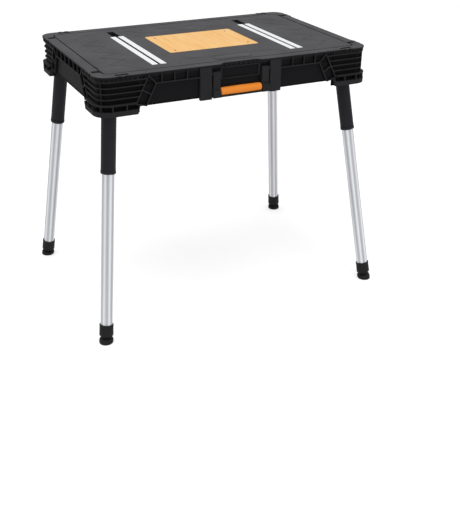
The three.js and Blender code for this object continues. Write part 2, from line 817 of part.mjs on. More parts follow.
// Hinge bracket under the deck: a clevis with a stop on its outer side and an ear for the latch.
function hingeBracket(end) {
  const roof = frameTop - hingeLevel;
  const plateLevel = [roof - bracketPlate, roof];
  const stopInner = knuckleDiameter / 2 + stopGap;
  const stopOuter = stopInner + stopThickness;
  const earEnd = earOffset + earThickness;
  const plate = block([-end * bracketToe, end * stopOuter], [-cheekOuter, cheekOuter], plateLevel);
  const earPlate = block([-end * bracketToe, (end * earWidth) / 2], [0, earEnd], plateLevel);
  const cheekShape = new THREE.Shape();
  cheekShape.moveTo(cheekRadius, roof - bracketPlate / 2);
  cheekShape.lineTo(-cheekRadius, roof - bracketPlate / 2);
  cheekShape.absarc(0, 0, cheekRadius, Math.PI, 2 * Math.PI);
  const cheeks = [[-cheekOuter, -cheekInner], [cheekInner, cheekOuter]]
    .map(([front, back]) => standing(cheekShape, front, back, 2 * arcSteps));
  const stop = block([end * stopInner, end * stopOuter], [-cheekOuter, cheekOuter], [-cheekRadius, roof]);
  const stopTies = [[-cheekOuter, -cheekInner], [cheekInner, cheekOuter]]
    .map((reach) => block([0, end * stopOuter], reach, [-cheekRadius / 2, roof]));
  const ear = block(
    [-earWidth / 2, earWidth / 2],
    [earOffset, earEnd],
    [plungerOffset - earDrop, roof - bracketPlate / 2],
  );
  const alongY = new THREE.Vector3(0, 1, 0);
  const pinHole = bar(hingePinDiameter + 2 * seatGap, -cheekOuter - past, cheekOuter + past, {
    axis: alongY,
    sides: boreSides,
  });
  const plungerHole = bar(plungerDiameter + 2 * seatGap, knuckleLength / 4, earEnd + past, {
    axis: alongY,
    at: [0, 0, plungerOffset],
    sides: pinSides,
  });
  const screwX = -end * bracketScrewX;
  const screwLevel = [roof - 2 * bracketPlate, roof + past];
  const screwHoles = bracketScrewPlaces.map((y) => screwHole(screwX, y, ...screwLevel));
  const clevis = join([plate, earPlate, ...cheeks, stop, ...stopTies, ear]);
  return cut(clevis, [pinHole, plungerHole, ...screwHoles]);
}

function hingePin() {
  const half = cheekOuter + hingePinOverhang;
  return bar(hingePinDiameter, -half, half, { axis: new THREE.Vector3(0, 1, 0), sides: boreSides });
}

// Latch plunger: its nose bears on the side of the knuckle, and the head is pulled to free the leg.
function latchPlunger() {
  const flangeStart = cheekOuter + seatGap;
  const headStart = earOffset + earThickness + 2 * seatGap;
  const shaft = plungerDiameter / 2;
  const outline = [
    [0, cheekInner],
    [shaft, cheekInner],
    [shaft, flangeStart],
    [plungerFlange / 2, flangeStart],
    [plungerFlange / 2, flangeStart + plungerFlangeLength],
    [shaft, flangeStart + plungerFlangeLength],
    [shaft, headStart],
    [plungerHead / 2, headStart],
    [plungerHead / 2, headStart + plungerHeadLength],
    [0, headStart + plungerHeadLength],
  ];
  return turned(outline, pinSides);
}

// Leg clip: a saddle under the deck, open downwards, that the folded leg's tube lies in.
function legClip() {
  const inner = tubeDiameter / 2 + clipClearance;
  const outer = inner + clipWall;
  const roof = frameTop - hingeLevel;
  const body = block([-clipLength / 2, clipLength / 2], [-outer, outer], [-clipReach, roof]);
  const room = block([-clipLength, clipLength], [-inner, inner], [-clipReach - past, inner]);
  return body.subtract(room);
}

// One leg with its bracket, pin, latch and clip, in the frame of the bench's front side.
function legAssembly(layout, half) {
  const name = layout.names[half];
  const group = new THREE.Group();
  group.rotation.z = half * Math.PI;

  const bracket = new THREE.Group();
  bracket.position.copy(layout.hinge);
  bracket.rotation.z = layout.turn;
  bracket.add(piece(`${name}_hinge_bracket`, hingeBracket(layout.end), framePlastic));
  bracket.add(piece(`${name}_hinge_pin`, hingePin(), zincSteel));
  const plunger = piece(`${name}_latch_plunger`, latchPlunger(), orangePlastic);
  plunger.position.z = plungerOffset;
  plunger.rotation.x = -Math.PI / 2;
  bracket.add(plunger);
  bracketScrewPlaces.forEach((y, i) => {
    const fastener = piece(`${name}_bracket_screw_${i + 1}`, screw(underScrewLength), zincSteel);
    fastener.position.set(-layout.end * bracketScrewX, y, frameTop - hingeLevel - bracketPlate - seatGap);
    bracket.add(fastener);
  });

  const leg = new THREE.Group();
  const up = layout.along.clone().negate();
  const across = layout.axis.clone().projectOnPlane(up).normalize();
  const basis = new THREE.Matrix4().makeBasis(across.clone().cross(up), across, up);
  leg.position.copy(layout.hinge);
  leg.quaternion.setFromRotationMatrix(basis);
  leg.updateMatrix();
  const toLeg = leg.matrix.clone().invert();
  const axisInLeg = layout.axis.clone().transformDirection(toLeg);
  const floorBox = new THREE.BoxGeometry(4 * footDiameter, 4 * footDiameter, 2 * footDiameter);
  floorBox.translate(layout.end * footEnd, -footSide, -footDiameter).applyMatrix4(toLeg);
  leg.add(piece(`${name}_leg_sleeve`, legSleeve(axisInLeg), framePlastic));
  leg.add(piece(`${name}_locking_collar`, lockingCollar(), framePlastic));
  leg.add(piece(`${name}_leg_tube`, legTube(layout.length), aluminium));
  leg.add(piece(`${name}_foot`, legFoot(layout.length, solid(floorBox)), rubber));

  const clip = piece(`${name}_leg_clip`, legClip(), framePlastic);
  clip.position.set(-layout.end * clipFromMiddle, layout.hinge.y, hingeLevel);
  group.add(bracket, leg, clip);
  return group;
}

const bench = new THREE.Group();
bench.add(piece('deck', deck(), deckPlastic));
bench.add(piece('under_frame', underFrame(), framePlastic));
bench.add(piece('work_board', workBoard(), plywood));
sides.forEach((side) => {
  const word = side < 0 ? 'left' : 'right';
  bench.add(piece(`clamp_track_${word}`, clampTrack(side), aluminium));
  bench.add(piece(`handle_post_${word}`, handlePost(side), framePlastic));
  bench.add(piece(`handle_pin_${word}`, handlePin(side), zincSteel));
});
bench.add(piece('handle_bail', handleBail(), framePlastic));
bench.add(piece('handle_grip', handleGrip(), orangePlastic));
boardScrewPlaces.forEach(([x, y], i) => {
  const fastener = piece(`board_screw_${i + 1}`, screw(boardScrewLength - screwHeadHeight), zincSteel);
  fastener.rotation.x = Math.PI;
  fastener.position.set(x, y, benchHeight - screwHeadHeight - seatGap);
  bench.add(fastener);
});
lugPlaces.forEach(([x, y], i) => {
  const fastener = piece(`frame_screw_${i + 1}`, screw(underScrewLength), zincSteel);
  fastener.position.set(x, y, beamTop - lugHeight - seatGap);
  bench.add(fastener);
});
layouts.forEach((layout) => [0, 1].forEach((half) => bench.add(legAssembly(layout, half))));

export default bench;
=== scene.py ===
"""The looks of a folding workbench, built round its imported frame: moulded plastic, aluminium, plywood.
Metres, +Z up, the floor at zero; real sizes are written in millimetres and multiplied by mm."""

import json
import math

import bmesh
import bpy
import numpy as np
from mathutils import Matrix, Vector


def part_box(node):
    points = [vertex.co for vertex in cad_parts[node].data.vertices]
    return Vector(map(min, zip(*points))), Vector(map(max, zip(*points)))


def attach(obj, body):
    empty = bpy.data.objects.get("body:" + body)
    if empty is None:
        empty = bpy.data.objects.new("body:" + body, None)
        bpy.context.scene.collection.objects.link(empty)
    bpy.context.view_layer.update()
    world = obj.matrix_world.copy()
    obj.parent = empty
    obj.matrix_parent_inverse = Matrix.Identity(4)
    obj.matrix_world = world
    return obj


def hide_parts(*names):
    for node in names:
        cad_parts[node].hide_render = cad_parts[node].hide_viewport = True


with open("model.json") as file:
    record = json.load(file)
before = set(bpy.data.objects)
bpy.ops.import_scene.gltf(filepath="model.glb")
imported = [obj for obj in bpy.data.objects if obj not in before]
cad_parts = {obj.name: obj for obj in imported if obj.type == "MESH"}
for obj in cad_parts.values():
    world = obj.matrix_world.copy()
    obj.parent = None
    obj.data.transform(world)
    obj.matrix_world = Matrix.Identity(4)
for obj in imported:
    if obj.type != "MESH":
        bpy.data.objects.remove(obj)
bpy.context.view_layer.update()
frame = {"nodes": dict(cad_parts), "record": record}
mm = 0.001


# Studio
# A white sweep of floor under a bright, even sky, with one wide lamp overhead and a softer one at the
# front right. The camera stands where the photograph was taken from.

photo_height = 521
focal_pixels = 836.9
sensor_width = 36
camera_place = Vector((-1.0713, -2.3370, 1.3899))
camera_azimuth = math.radians(-26.78)
camera_elevation = math.radians(28.09)
camera_roll = math.radians(0.69)
floor_reach = 14.0
sky_white = 1.0
sky_fill = 0.5
floor_lift = 0.55


def linear(colour):
    """An sRGB hex colour as linear red, green, blue and alpha: below 0.04045 a straight line, above it a
    power of 2.4."""
    share = np.array([int(colour[i:i + 2], 16) / 255 for i in (1, 3, 5)])
    curve = np.where(share <= 0.04045, share / 12.92, ((share + 0.055) / 1.055) ** 2.4)
    return (*curve.tolist(), 1.0)


def add(tree, kind, inputs=None, **options):
    """One node in a tree: options are its own settings, and inputs gives a socket a value or a link."""
    node = tree.nodes.new("ShaderNode" + kind)
    for name, value in options.items():
        setattr(node, name, value)
    for socket, value in (inputs or {}).items():
        if isinstance(value, bpy.types.NodeSocket):
            tree.links.new(value, node.inputs[socket])
        else:
            node.inputs[socket].default_value = value
    return node


def empty_tree(owner):
    """The node tree of a material or a world, cleared."""
    owner.use_nodes = True
    owner.node_tree.nodes.clear()
    return owner.node_tree


def seen_directly(tree):
    """One where a ray comes from the camera, a mirror or a clear body, and zero for soft light."""
    path = add(tree, "LightPath").outputs
    mirror = add(tree, "Math", {0: path["Is Camera Ray"], 1: path["Is Glossy Ray"]}, operation="MAXIMUM")
    clear = add(tree, "Math", {0: mirror.outputs[0], 1: path["Is Transmission Ray"]}, operation="MAXIMUM")
    return clear.outputs[0]


def aim(azimuth, elevation, roll):
    """A turn whose third axis points back from the subject, raised by the elevation and turned by the
    azimuth, with the first two axes rolled about it."""
    back = Vector((
        math.sin(azimuth) * math.cos(elevation),
        -math.cos(azimuth) * math.cos(elevation),
        math.sin(elevation),
    ))
    right = Vector((0, 0, 1)).cross(back).normalized()
    above = back.cross(right)
    rolled_right = right * math.cos(roll) + above * math.sin(roll)
    rolled_above = above * math.cos(roll) - right * math.sin(roll)
    return Matrix((rolled_right, rolled_above, back)).transposed().to_4x4()


scene = bpy.context.scene
scene.view_settings.view_transform = "Standard"
camera = bpy.data.objects.new("camera", bpy.data.cameras.new("camera"))
camera.data.sensor_width = sensor_width
camera.data.lens = focal_pixels * sensor_width / photo_height
camera.matrix_world = Matrix.Translation(camera_place) @ aim(camera_azimuth, camera_elevation, camera_roll)
scene.collection.objects.link(camera)
scene.camera = camera

scene.world = bpy.data.worlds.new("even_sky")
sky = empty_tree(scene.world)
sky_level = add(sky, "MapRange", {"Value": seen_directly(sky), "To Min": sky_fill, "To Max": sky_white})
sky_light = add(sky, "Background", {"Color": linear("#ffffff"), "Strength": sky_level.outputs[0]})
add(sky, "OutputWorld", {"Surface": sky_light.outputs[0]})

# Each lamp's name, place, target, width in metres and power in watts.
lamps = [
    ("overhead_lamp", (-0.6, -0.4, 3.4), (0, 0, 0.6), 2.6, 34),
    ("front_lamp", (0.9, -3.2, 1.9), (0, 0, 0.5), 1.6, 14),
]
for name, place, target, width, watts in lamps:
    lamp = bpy.data.objects.new(name, bpy.data.lights.new(name, "AREA"))
    lamp.data.shape = "DISK"
    lamp.data.size = width
    lamp.data.energy = watts
    toward = Vector(target) - Vector(place)
    lamp.matrix_world = Matrix.Translation(place) @ toward.to_track_quat("-Z", "Y").to_matrix().to_4x4()
    scene.collection.objects.link(lamp)


def painted_floor():
    """Matt white paint that keeps the shadow, lifted a little where it is seen, so that it reads white."""
    material = bpy.data.materials.new("painted_floor")
    tree = empty_tree(material)
    matt = add(tree, "BsdfDiffuse", {"Color": linear("#f4f4f4")})
    lift = add(tree, "Math", {0: seen_directly(tree), 1: floor_lift}, operation="MULTIPLY")
    glow = add(tree, "Emission", {"Color": linear("#ffffff"), "Strength": lift.outputs[0]})
    both = add(tree, "AddShader", {0: matt.outputs[0], 1: glow.outputs[0]})
    add(tree, "OutputMaterial", {"Surface": both.outputs[0]})
    return material


floor_mesh = bpy.data.meshes.new("floor")
floor_corners = [(x * floor_reach, y * floor_reach, 0) for x, y in ((-1, -1), (1, -1), (1, 1), (-1, 1))]
floor_mesh.from_pydata(floor_corners, [], [(0, 1, 2, 3)])
floor_mesh.materials.append(painted_floor())
floor = bpy.data.objects.new("floor", floor_mesh)
scene.collection.objects.link(floor)


# Deck
# One large injection moulding in charcoal polypropylene, with a fine spark-eroded grain. A shallow
# lattice of raised lines stiffens the top, and a bare pad stands near the handle.

_, deck_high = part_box("deck")
deck_top = deck_high.z
half_length = deck_high.x
half_depth = deck_high.y
deck_corner = 38 * mm
border_inset = 31 * mm
sharp_edge = math.radians(32)
crisp_edge = math.radians(34)


def moulded_plastic(name, shade, light_shade, grain, roughness, depth=0.12, sheen=0.22, shade_painted_under=None):
    """Injection moulded plastic or rubber: an even body colour that clouds a little over a hand's
    width, a satin sheen broken by the grain of the mould, and faint handling marks along it. Below the
    level given as the last argument, if any, the sides and grooves are painted darker as shade."""
    painted_side_shade = "#212123"
    material = bpy.data.materials.new(name)
    tree = empty_tree(material)
    place = add(tree, "TexCoord").outputs["Object"]
    cloud = add(tree, "TexNoise", {"Vector": place, "Scale": 1 / (90 * mm), "Detail": 3.0}).outputs["Fac"]
    mark_scale = (1 / (160 * mm), 1 / (7 * mm), 1 / (60 * mm))
    mark_place = add(tree, "Mapping", {"Vector": place, "Scale": mark_scale}).outputs[0]
    marks = add(tree, "TexNoise", {"Vector": mark_place, "Scale": 1.0, "Detail": 4.0}).outputs["Fac"]
    both = add(tree, "Math", {0: marks, 1: 0.5, 2: cloud}, operation="MULTIPLY_ADD").outputs[0]
    blend = add(tree, "MapRange", {"Value": both, "From Min": 0.45, "From Max": 1.05}).outputs[0]
    tint = add(tree, "Mix", {
        "Factor": blend, "A": linear(shade), "B": linear(light_shade),
    }, data_type="RGBA")
    # Painted shade: below the given level the sides and grooves take a dark colour.
    if shade_painted_under is not None:
        height = add(tree, "SeparateXYZ", {0: place}).outputs["Z"]
        open_top = add(tree, "MapRange", {
            "Value": height, "From Min": shade_painted_under - 0.5 * mm, "From Max": shade_painted_under + 0.3 * mm,
        })
        tint = add(tree, "Mix", {
            "Factor": open_top.outputs[0], "A": linear(painted_side_shade), "B": tint.outputs["Result"],
        }, data_type="RGBA")
    pits = add(tree, "TexNoise", {"Vector": place, "Scale": 1 / (grain * mm), "Detail": 2.0}).outputs["Fac"]
    dull = add(tree, "MapRange", {
        "Value": pits, "From Min": 0.3, "From Max": 0.7,
        "To Min": roughness - 0.06, "To Max": roughness + 0.08,
    })
    bump = add(tree, "Bump", {"Height": pits, "Strength": 0.5, "Distance": depth * mm})
    shader = add(tree, "BsdfPrincipled", {
        "Base Color": tint.outputs["Result"], "Roughness": dull.outputs[0], "Normal": bump.outputs[0],
        "IOR": 1.49, "Specular IOR Level": sheen,
    })
    add(tree, "OutputMaterial", {"Surface": shader.outputs[0]})
    return material


def dress(node, material, edge, merged=True):
    """Gives a frame node its finish and rounds its edges: its triangles are merged into flat faces, unless
    merged is off, and each edge sharper than about a third of a right angle gets a small round."""
    obj = frame["nodes"][node]
    obj.material_slots[0].material = material
    weld = obj.modifiers.new("merged", "WELD")
    weld.merge_threshold = 0.02 * mm
    if merged:
        flat = obj.modifiers.new("flat_faces", "DECIMATE")
        flat.decimate_type = "DISSOLVE"
        flat.angle_limit = math.radians(1)
    rounding = obj.modifiers.new("rounded_edges", "BEVEL")
    rounding.width = edge * mm
    rounding.segments = 2
    rounding.limit_method = "ANGLE"
    rounding.angle_limit = sharp_edge
    rounding.use_clamp_overlap = False
    shading = obj.modifiers.new("even_shading", "WEIGHTED_NORMAL")
    shading.keep_sharp = False


def make(name, shapes, material, body, place=None):
    """One piece from several shapes, each its corners and faces: doubled corners are merged, faces turned
    outwards, and edges sharper than about a third of a right angle kept crisp. place, if given, is stored
    at each corner as the pattern's own coordinates."""
    starts = np.cumsum([0] + [len(corners) for corners, _ in shapes])
    corners = np.concatenate([corners for corners, _ in shapes])
    faces = [[i + start for i in face] for (_, group), start in zip(shapes, starts) for face in group]
    mesh = bpy.data.meshes.new(name)
    mesh.from_pydata(corners.tolist(), [], faces)
    if place is not None:
        mesh.attributes.new("place", "FLOAT_VECTOR", "POINT").data.foreach_set("vector", place.ravel())
    shell = bmesh.new()
    shell.from_mesh(mesh)
    bmesh.ops.remove_doubles(shell, verts=shell.verts, dist=0.001 * mm)
    bmesh.ops.recalc_face_normals(shell, faces=shell.faces)
    shell.to_mesh(mesh)
    shell.free()
    mesh.polygons.foreach_set("use_smooth", np.ones(len(mesh.polygons), bool))
    mesh.set_sharp_from_angle(angle=crisp_edge)
    mesh.materials.append(material)
    obj = bpy.data.objects.new(name, mesh)
    scene.collection.objects.link(obj)
    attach(obj, body)
    return obj


def bars(start, end, rise, width, height, hip=0.3):
    """Small bars from start to end, standing along rise: a foot of the full width, and a top drawn in on
    all four sides by hip times the height."""
    start, end, rise = (np.atleast_2d(np.asarray(v, float)) for v in (start, end, rise))
    start, end, rise = np.broadcast_arrays(start, end, rise)
    along = (end - start) / np.linalg.norm(end - start, axis=1, keepdims=True)
    side = np.cross(rise, along)
    draw = hip * height
    half = side * width / 2
    foot = [start - half, end - half, end + half, start + half]
    inward = [along + side, side - along, -along - side, along - side]
    top = [corner + rise * height + step * draw for corner, step in zip(foot, inward)]
    corners = np.stack(foot + top, axis=1).reshape(-1, 3)
    pattern = np.array([[3, 2, 1, 0], [4, 5, 6, 7], [0, 1, 5, 4], [1, 2, 6, 5], [2, 3, 7, 6], [3, 0, 4, 7]])
    faces = (np.arange(len(start))[:, None, None] * 8 + pattern).reshape(-1, 4)
    return corners, faces.tolist()


def skin(grid):
    """A grid of points as a closed shell: rows follow the path, columns go round the section, quads join
    neighbours, and one face closes each end."""
    rows, columns = grid.shape[:2]
    index = np.arange(rows * columns).reshape(rows, columns)
    beside = np.roll(index, -1, axis=1)
    quads = np.stack([index[:-1], beside[:-1], beside[1:], index[1:]], axis=-1).reshape(-1, 4)
    return grid.reshape(-1, 3), quads.tolist() + [index[0, ::-1].tolist(), index[-1].tolist()]


# The deck's sides and grooves, from a millimetre under its top down, are painted dark as shade.
charcoal_polypropylene = moulded_plastic(
    "charcoal_polypropylene", "#434345", "#545457", 1.6, 0.58, sheen=0.06, shade_painted_under=deck_top - 1.0 * mm,
)
dress("deck", charcoal_polypropylene, 0.8, merged=False)

# The raised lines: a slanted lattice, broken by chance here and there, that keeps clear of the border,
# the tracks with their drop slots, the board and the pad, and two outlines at the front and the back.
line_width = 2.6 * mm
line_height = 0.35 * mm
sunk = 0.05 * mm
lattice_step = np.array([58, 40]) * mm
lattice_reach = 20
lattice_share = 0.72
border_room = 8 * mm
track_room = 34 * mm
track_front_room = 12 * mm
drop_slot_room = 78 * mm
board_room = 14 * mm
pad_room = 165 * mm
up = np.array([0.0, 0.0, 1.0])
track_low, track_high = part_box("clamp_track_right")
board_low, board_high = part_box("work_board")

counts = np.arange(-lattice_reach, lattice_reach)
column, row = np.meshgrid(counts, counts)
knots = np.stack([(column + row) * lattice_step[0], (column - row) * lattice_step[1]], axis=-1)
knots = knots.reshape(-1, 2)
line_starts = np.concatenate([knots, knots])
line_ends = np.concatenate([knots + lattice_step, knots + lattice_step * [1, -1]])
samples = line_starts + (line_ends - line_starts) * np.linspace(0, 1, 9)[:, None, None]
sample_x, sample_y = samples[..., 0], samples[..., 1]
field = np.array([half_length, half_depth]) - border_inset - border_room
inside = np.all(np.abs(samples) < field, axis=-1)
near_track = np.abs(np.abs(sample_x) - (track_low.x + track_high.x) / 2) < track_room
near_track &= (sample_y > track_low.y - track_front_room) & (sample_y < track_high.y + drop_slot_room)
near_board = np.abs(sample_x) < board_high.x + board_room
near_board &= np.abs(sample_y) < board_high.y + board_room
near_pad = (np.abs(sample_x) < pad_room) & (sample_y < board_low.y)
open_field = np.all(inside & ~near_track & ~near_board & ~near_pad, axis=0)
kept = open_field & (np.random.default_rng(7).random(len(line_starts)) < lattice_share)

front_outline = np.array([[-172, -222], [-139, -186], [139, -186], [172, -222]]) * mm
back_outline = np.array([[-70, 236], [-52, 192], [52, 192], [70, 236]]) * mm
raised_starts = np.concatenate([line_starts[kept], front_outline[:-1], back_outline[:-1]])
raised_ends = np.concatenate([line_ends[kept], front_outline[1:], back_outline[1:]])
level = np.full((len(raised_starts), 1), deck_top - sunk)
raised_lines = bars(
    np.hstack([raised_starts, level]), np.hstack([raised_ends, level]), up, line_width, line_height,
)
line_polypropylene = moulded_plastic("line_polypropylene", "#3d3d3f", "#4b4b4d", 1.6, 0.58, sheen=0.06)
make("deck_raised_lines", [raised_lines], line_polypropylene, "bench_top")


def pad(half_width, half_breadth, centre, height):
    """A low pad with round ends: a stadium outline carried up in rings, drawn in towards the top by a
    quarter round, and closed flat."""
    turn = np.linspace(0, 2 * math.pi, 64, endpoint=False)
    straight = half_width - half_breadth
    outline = np.stack([np.cos(turn), np.sin(turn)], axis=-1) * half_breadth
    outline[:, 0] += np.sign(np.cos(turn)) * straight
    rise = np.linspace(0, math.pi / 2, 5)
    draw = (1 - np.cos(rise))[:, None, None] * height
    grid = np.empty((len(rise), len(turn), 3))
    length = np.linalg.norm(outline, axis=1, keepdims=True)
    grid[..., :2] = centre + outline * (1 - draw / length)
    grid[..., 2] = deck_top - sunk + (np.sin(rise) * height)[:, None]
    return skin(grid)


pad_centre = np.array([0, -215]) * mm
pad_half = 58 * mm
pad_half_breadth = 15.4 * mm
pad_height = 0.9 * mm
shade_ring_width = 1.4 * mm
shade_ring_height = 0.35 * mm
shadowed_polypropylene = moulded_plastic("shadowed_polypropylene", "#0b0b0c", "#111112", 1.2, 0.6, sheen=0.1)
bare_pad = pad(pad_half, pad_half_breadth, pad_centre, pad_height)
# A wider, lower pad in near black shows as a thin ring of painted shade round the bare pad's outline.
pad_shade_ring = pad(pad_half + shade_ring_width, pad_half_breadth + shade_ring_width, pad_centre, shade_ring_height)
make("bare_pad", [bare_pad], charcoal_polypropylene, "bench_top")
make("pad_shade_ring", [pad_shade_ring], shadowed_polypropylene, "bench_top")

# The corner pockets: a floor plate with a comb of three ribs in each, and two bumps on the rim beside it,
# all near black as painted shade.
signs = np.array([[sx, sy] for sx in (-1, 1) for sy in (-1, 1)])
along_x = np.array([1.0, 0, 0])
along_y = np.array([0, 1.0, 0])
pocket_floor = deck_top - 5 * mm
long_pocket = np.array([half_length - 75 * mm, half_depth - 14.5 * mm])
end_pocket = np.array([half_length - 19.5 * mm, half_depth - 67.5 * mm])
plate_height = 0.3 * mm
comb_width = 1.6 * mm
comb_height = 2.6 * mm
comb_room = 0.2 * mm
bump_offset = 10 * mm
bump_half = 5.5 * mm
bump_width = 5.6 * mm
bump_height = 3.2 * mm
bump_level = 2.8 * mm
bump_sunk = 0.3 * mm
pocket_ribs = []
pocket_plates = []
lip_bumps = []
for sign in signs:
    for middle, along, across, half, breadth, edge in (
        (long_pocket, along_x, along_y, 18.7 * mm, 10.6 * mm, half_depth),
        (end_pocket, along_y, along_x, 7.2 * mm, 20.6 * mm, half_length),
    ):
        floor_spot = np.array([*(middle * sign), pocket_floor])
        plate = bars(floor_spot - along * half, floor_spot + along * half, up, breadth, plate_height)
        pocket_plates.append(plate)
        rib_spots = floor_spot + along * np.linspace(-0.7, 0.7, 3)[:, None] * half
        comb_reach = across * (breadth / 2 - comb_room)
        comb = bars(rib_spots - comb_reach, rib_spots + comb_reach, up, comb_width, comb_height, 0.05)
        pocket_ribs.append(comb)
        toward_rim = across * np.array([*sign, 0])
        bump_spots = floor_spot + along * np.array([[-1.0], [1.0]]) * bump_offset
        bump_spots += toward_rim * (edge - bump_sunk - abs(floor_spot @ across)) + up * bump_level
        bump_reach = along * bump_half
        bumps = bars(
            bump_spots - bump_reach, bump_spots + bump_reach, toward_rim, bump_width, bump_height, 0.4,
        )
        lip_bumps.append(bumps)
make("pocket_combs", pocket_ribs, shadowed_polypropylene, "bench_top")
make("pocket_floors", pocket_plates, shadowed_polypropylene, "bench_top")
make("lip_bumps", lip_bumps, shadowed_polypropylene, "bench_top")


# Frame
# The black polypropylene moulding screwed up under the deck: louvred corner blocks, a row of cells along
# each side, struts and beams. Its grooves are painted black as deep shadow and its outer faces lighter as
# lit, so only the ribs' edges read light.

def ribbed_plastic(name, painted_groove_shadow, painted_wall_shade, painted_face_light, grain):
    """Black polypropylene with light and shade painted by depth: outer faces a lighter grey as if lit,
    grooves black as painted shadow and walls, further in, a painted shade a little lighter. The depth
    under the bench's rounded outline is the length of what lies past the corner's centre, plus the
    greater of the two distances where both are short of it, less the corner's radius. The corner's centre
    lies far above the bench, so that height doesn't count."""
    far_above = 10
    material = bpy.data.materials.new(name)
    tree = empty_tree(material)
    place = add(tree, "TexCoord").outputs["Object"]
    mirrored = add(tree, "VectorMath", {0: place}, operation="ABSOLUTE").outputs[0]
    centre = (half_length - deck_corner, half_depth - deck_corner, far_above)
    past_centre = add(tree, "VectorMath", {0: mirrored, 1: centre}, operation="SUBTRACT").outputs[0]
    beyond = add(tree, "VectorMath", {0: past_centre, 1: (0, 0, 0)}, operation="MAXIMUM").outputs[0]
    reach = add(tree, "VectorMath", {0: beyond}, operation="LENGTH").outputs["Value"]
    parts = add(tree, "SeparateXYZ", {0: past_centre}).outputs
    greater = add(tree, "Math", {0: parts["X"], 1: parts["Y"]}, operation="MAXIMUM").outputs[0]
    short = add(tree, "Math", {0: greater, 1: 0.0}, operation="MINIMUM").outputs[0]
    depth = add(tree, "Math", {0: reach, 1: short}, operation="ADD").outputs[0]
    pits = add(tree, "TexNoise", {"Vector": place, "Scale": 1 / (grain * mm), "Detail": 2.0}).outputs["Fac"]
    light_edge_noise = add(tree, "TexNoise", {"Vector": place, "Scale": 1 / (35 * mm), "Detail": 4.0}).outputs["Fac"]
    wander = add(tree, "Math", {0: light_edge_noise, 1: 1.6 * mm, 2: depth}, operation="MULTIPLY_ADD").outputs[0]
    outer = add(tree, "MapRange", {
        "Value": wander, "From Min": deck_corner - 8.5 * mm, "From Max": deck_corner - 3 * mm,
    })
    inner = add(tree, "MapRange", {
        "Value": depth, "From Min": deck_corner - 11 * mm, "From Max": deck_corner - 10.2 * mm,
    })
    ground = add(tree, "Mix", {
        "Factor": inner.outputs[0], "A": linear(painted_wall_shade), "B": linear(painted_groove_shadow),
    }, data_type="RGBA")
    tint = add(tree, "Mix", {
        "Factor": outer.outputs[0], "A": ground.outputs["Result"], "B": linear(painted_face_light),
    }, data_type="RGBA")
    dull = add(tree, "MapRange", {
        "Value": pits, "From Min": 0.3, "From Max": 0.7, "To Min": 0.58, "To Max": 0.74,
    })
    bump = add(tree, "Bump", {"Height": pits, "Strength": 0.5, "Distance": 0.12 * mm})
    shader = add(tree, "BsdfPrincipled", {
        "Base Color": tint.outputs["Result"], "Roughness": dull.outputs[0], "Normal": bump.outputs[0],
        "IOR": 1.49, "Specular IOR Level": 0.06,
    })
    add(tree, "OutputMaterial", {"Surface": shader.outputs[0]})
    return material


# The frame's grooves are painted as shadow and its outer faces painted lighter as lit, by depth under the
# outline.
black_polypropylene = ribbed_plastic("black_polypropylene", "#0b0b0c", "#18181a", "#2e2e30", 1.2)
dress("under_frame", black_polypropylene, 0.5, merged=False)


def bench_outline(inset, spacing):
    """Points evenly spaced round the bench's outline, drawn in by an inset, and their outward normals:
    four quarter rounds joined by straight sides, walked by length."""
    turn = np.linspace(0, math.pi / 2, 25)
    radius = deck_corner - inset
    centre = np.array([half_length, half_depth]) - deck_corner
    rounds = []
    for k, sign in enumerate(([1, 1], [-1, 1], [-1, -1], [1, -1])):
        step = turn + k * math.pi / 2
        rounds.append(centre * sign + radius * np.stack([np.cos(step), np.sin(step)], axis=-1))
    path = np.concatenate(rounds + [rounds[0][:1]])
    length = np.concatenate([[0], np.cumsum(np.linalg.norm(np.diff(path, axis=0), axis=1))])
    walk = np.linspace(0, length[-1], round(length[-1] / spacing), endpoint=False)
    points = np.stack([np.interp(walk, length, path[:, i]) for i in (0, 1)], axis=-1)
    ahead = np.stack([np.interp((walk + mm) % length[-1], length, path[:, i]) for i in (0, 1)], axis=-1)
    tangent = (ahead - points) / np.linalg.norm(ahead - points, axis=1, keepdims=True)
    return points, np.stack([tangent[:, 1], -tangent[:, 0]], axis=-1)


# Under the rim each block has a row of short ribs before a shaded band.
block_start = np.array([half_length - 120 * mm, half_depth - 110 * mm])
block_inset = 3.3 * mm
rim_under = deck_top - 5.2 * mm
louvre_top = deck_top - 14.6 * mm
rib_pitch = 13 * mm
rib_width = 2.2 * mm
rib_sunk = 0.2 * mm
rib_room = 5 * mm
rim_points, rim_normals = bench_outline(block_inset, rib_pitch)
at_block = np.all(np.abs(rim_points) > block_start + rib_room, axis=1)
rim_normals = np.hstack([rim_normals[at_block], np.zeros((at_block.sum(), 1))])
rib_foot = np.hstack([rim_points[at_block], np.full((at_block.sum(), 1), louvre_top)])
rib_foot -= rim_normals * rib_sunk
rib_rise = up * (rim_under - louvre_top)
rim_ribs = bars(rib_foot, rib_foot + rib_rise, rim_normals, rib_width, rib_width, 0.2)
make("rim_ribs", [rim_ribs], black_polypropylene, "bench_top")

band_proud = 0.15 * mm
band_back = -0.4 * mm
band_step = 4 * mm
band_room = 0.5 * mm
band_section = [(0, louvre_top), (0, rim_under), (band_back, rim_under), (band_back, louvre_top)]
band_points, band_normals = bench_outline(block_inset - band_proud, band_step)
for sign, corner_name in zip(signs, ("front_left", "back_left", "front_right", "back_right")):
    at_corner = np.all(band_points * sign > block_start + band_room, axis=1)
    around = np.arctan2(*((band_points[at_corner] - block_start * sign) * sign).T)
    order = np.argsort(around)
    path, normals = band_points[at_corner][order], band_normals[at_corner][order]
    band_grid = np.stack([
        np.hstack([path + normals * out, np.full((len(path), 1), z)]) for out, z in band_section
    ], axis=1)
    band = skin(band_grid)
    make(f"{corner_name}_shaded_band", [band], shadowed_polypropylene, "bench_top")

